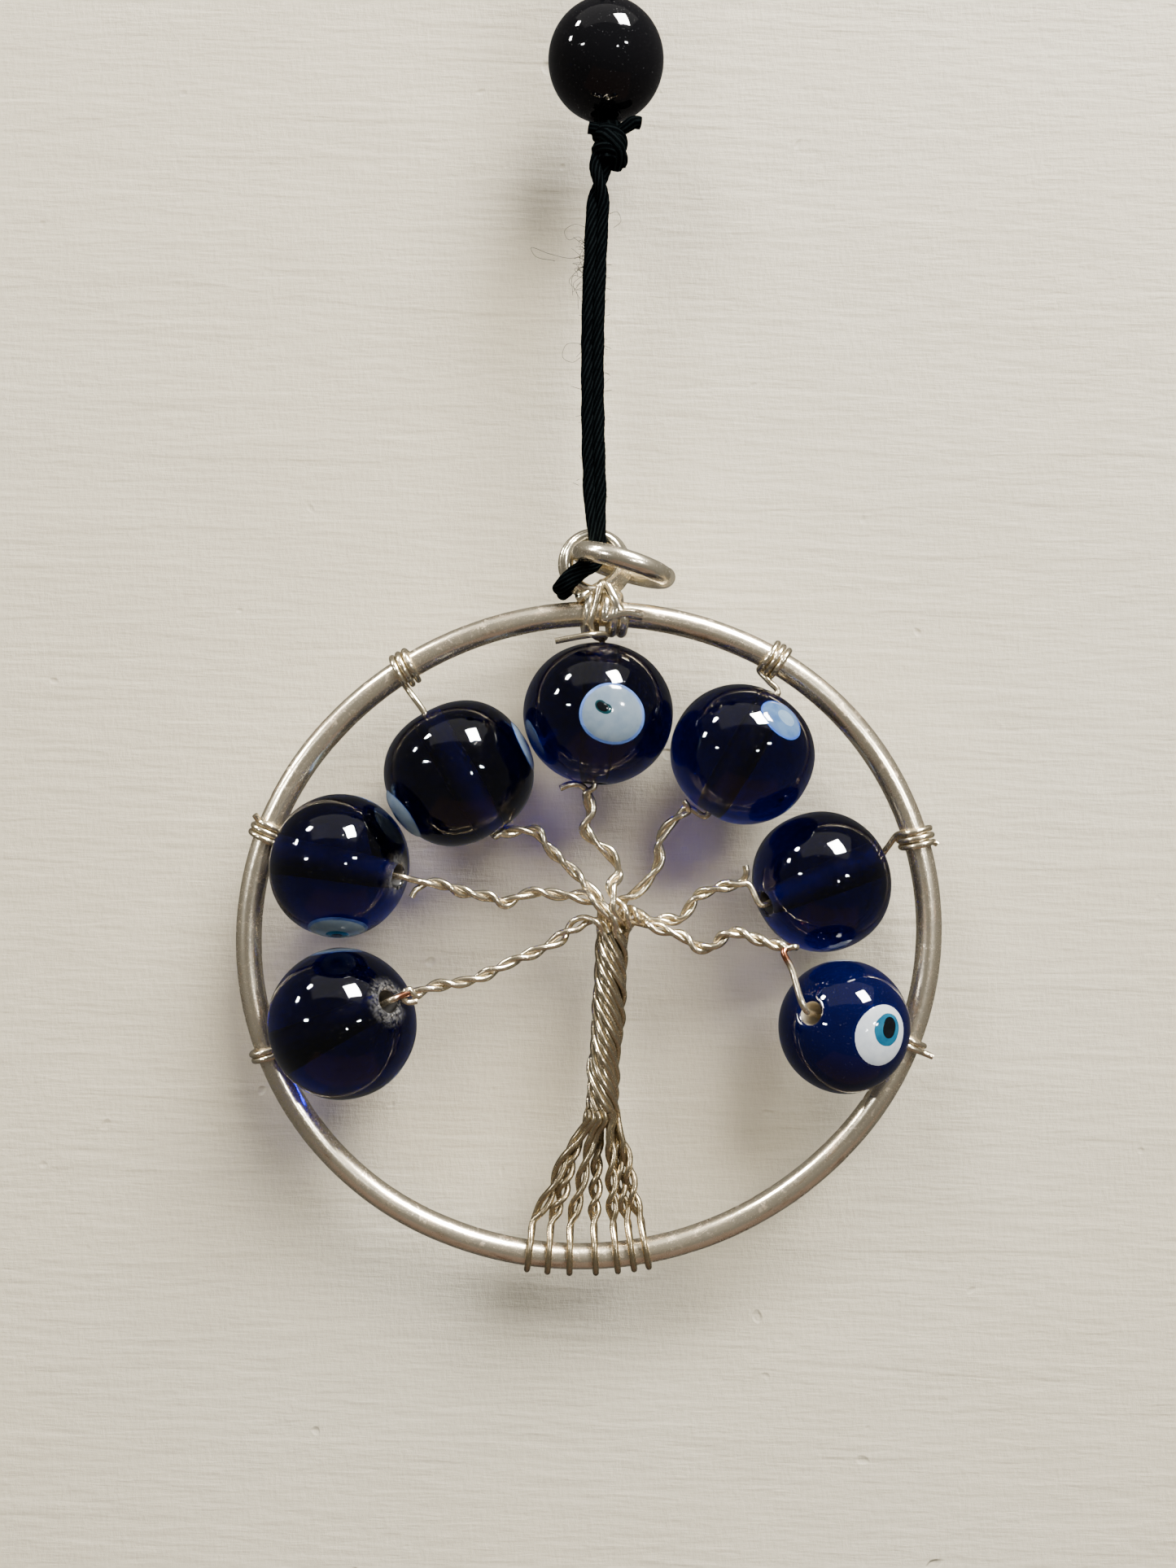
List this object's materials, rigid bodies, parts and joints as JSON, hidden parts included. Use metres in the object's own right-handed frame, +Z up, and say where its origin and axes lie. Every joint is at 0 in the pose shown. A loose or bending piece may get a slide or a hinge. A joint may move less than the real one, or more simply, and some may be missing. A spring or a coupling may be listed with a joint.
{
  "type": "evil eye ornament",
  "caption": "Hanging ornament: a twisted-wire tree in a round wire hoop carries glass eye beads, on a doubled cord with a knot, a round bead and a hanging loop.",
  "frame": {"origin": "hang point: the underside of the hanging loop's top, where a hook bears", "axes": "+Z up along the cord; -Y towards the viewer, out of the ornament's face; +X to the right"},
  "size_m": [0.0502, 0.0121, 0.1279],
  "materials": {
    "hoop_plating": "bright silver plate over copper wire, worn and brownish in places",
    "bail_plating": "bright silver plate, slightly rough",
    "thin_wire": "silver-plated copper wire, soft cream shine with bare copper spots",
    "cobalt_glass": "deep cobalt lampwork glass, fire polished",
    "eye_white": "opaque white glass, fused flush",
    "iris": "opaque turquoise glass, fused flush",
    "pupil": "opaque black glass, fused flush",
    "black_glass": "polished black glass",
    "black_cord": "black waxed and twisted synthetic cord with a satin shine"
  },
  "bodies": {
    "root": {"hanging_loop": "black_cord", "upper_knot": "black_cord", "bead_cord": "black_cord", "lower_knot": "black_cord"},
    "black_bead": {"black_bead": "black_glass"},
    "cord": {"cord_drop": "black_cord"},
    "pendant": {"hoop": "hoop_plating", "bail_coil": "bail_plating", "cord_hitch": "black_cord", "trunk": "thin_wire", "root_1": "thin_wire", "root_2": "thin_wire", "root_3": "thin_wire", "root_4": "thin_wire", "root_5": "thin_wire", "root_6": "thin_wire", "root_7": "thin_wire", "branch_1": "thin_wire", "branch_2": "thin_wire", "branch_3": "thin_wire", "branch_4": "thin_wire", "branch_5": "thin_wire", "branch_6": "thin_wire", "branch_7": "thin_wire", "bead_wire_1": "thin_wire", "bead_wire_2": "thin_wire", "bead_wire_3": "thin_wire", "bead_wire_4": "thin_wire", "bead_wire_5": "thin_wire", "bead_wire_6": "thin_wire", "bead_wire_7": "thin_wire"},
    "jump_ring": {"jump_ring": "bail_plating"},
    "bead_1": {"bead_1": "cobalt_glass", "eye_whites_1": "eye_white", "irises_1": "iris", "pupils_1": "pupil"},
    "bead_2": {"bead_2": "cobalt_glass", "eye_whites_2": "eye_white", "irises_2": "iris", "pupils_2": "pupil"},
    "bead_3": {"bead_3": "cobalt_glass", "eye_whites_3": "eye_white", "irises_3": "iris", "pupils_3": "pupil"},
    "bead_4": {"bead_4": "cobalt_glass", "eye_whites_4": "eye_white", "irises_4": "iris", "pupils_4": "pupil"},
    "bead_5": {"bead_5": "cobalt_glass", "eye_whites_5": "eye_white", "irises_5": "iris", "pupils_5": "pupil"},
    "bead_6": {"bead_6": "cobalt_glass", "eye_whites_6": "eye_white", "irises_6": "iris", "pupils_6": "pupil"},
    "bead_7": {"bead_7": "cobalt_glass", "eye_whites_7": "eye_white", "irises_7": "iris", "pupils_7": "pupil"}
  },
  "joints": [
    {"name": "black_bead_spin", "type": "hinge", "parent": "root", "child": "black_bead", "pos_m": [0, 0, -0.04124], "axis": [0, 0, 1], "continuous": true},
    {"name": "cord_twist", "type": "hinge", "parent": "root", "child": "cord", "pos_m": [-0.00025, 0, -0.04884], "axis": [0, 0, 1], "range_deg": [-180, 180]},
    {"name": "pendant_swing", "type": "hinge", "parent": "cord", "child": "pendant", "pos_m": [0, 0, -0.07274], "axis": [0, 1, 0], "range_deg": [-30, 30]},
    {"name": "jump_ring_lift", "type": "hinge", "parent": "pendant", "child": "jump_ring", "pos_m": [-0.00088, 0.00068, -0.07564], "axis": [0, -1, 0], "range_deg": [0, 30]},
    {"name": "bead_1_spin", "type": "hinge", "parent": "pendant", "child": "bead_1", "pos_m": [-0.01676, -0.00039, -0.10903], "axis": [-0.7279, 0.5446, -0.4165], "continuous": true},
    {"name": "bead_2_spin", "type": "hinge", "parent": "pendant", "child": "bead_2", "pos_m": [-0.01725, -0.00024, -0.09804], "axis": [-0.9323, 0.342, 0.1177], "continuous": true},
    {"name": "bead_3_spin", "type": "hinge", "parent": "pendant", "child": "bead_3", "pos_m": [-0.00919, 0.00118, -0.09139], "axis": [-0.5177, 0, 0.8555], "continuous": true},
    {"name": "bead_4_spin", "type": "hinge", "parent": "pendant", "child": "bead_4", "pos_m": [0.00054, 0.00118, -0.08695], "axis": [0.033, 0.0872, 0.9956], "continuous": true},
    {"name": "bead_5_spin", "type": "hinge", "parent": "pendant", "child": "bead_5", "pos_m": [0.01082, 0.00118, -0.08956], "axis": [0.4836, 0, 0.8753], "continuous": true},
    {"name": "bead_6_spin", "type": "hinge", "parent": "pendant", "child": "bead_6", "pos_m": [0.01661, 0.00118, -0.09844], "axis": [0.8795, 0.342, 0.3308], "continuous": true},
    {"name": "bead_7_spin", "type": "hinge", "parent": "pendant", "child": "bead_7", "pos_m": [0.01812, -0.00081, -0.10833], "axis": [0.6612, 0.682, -0.3125], "continuous": true}
  ]
}
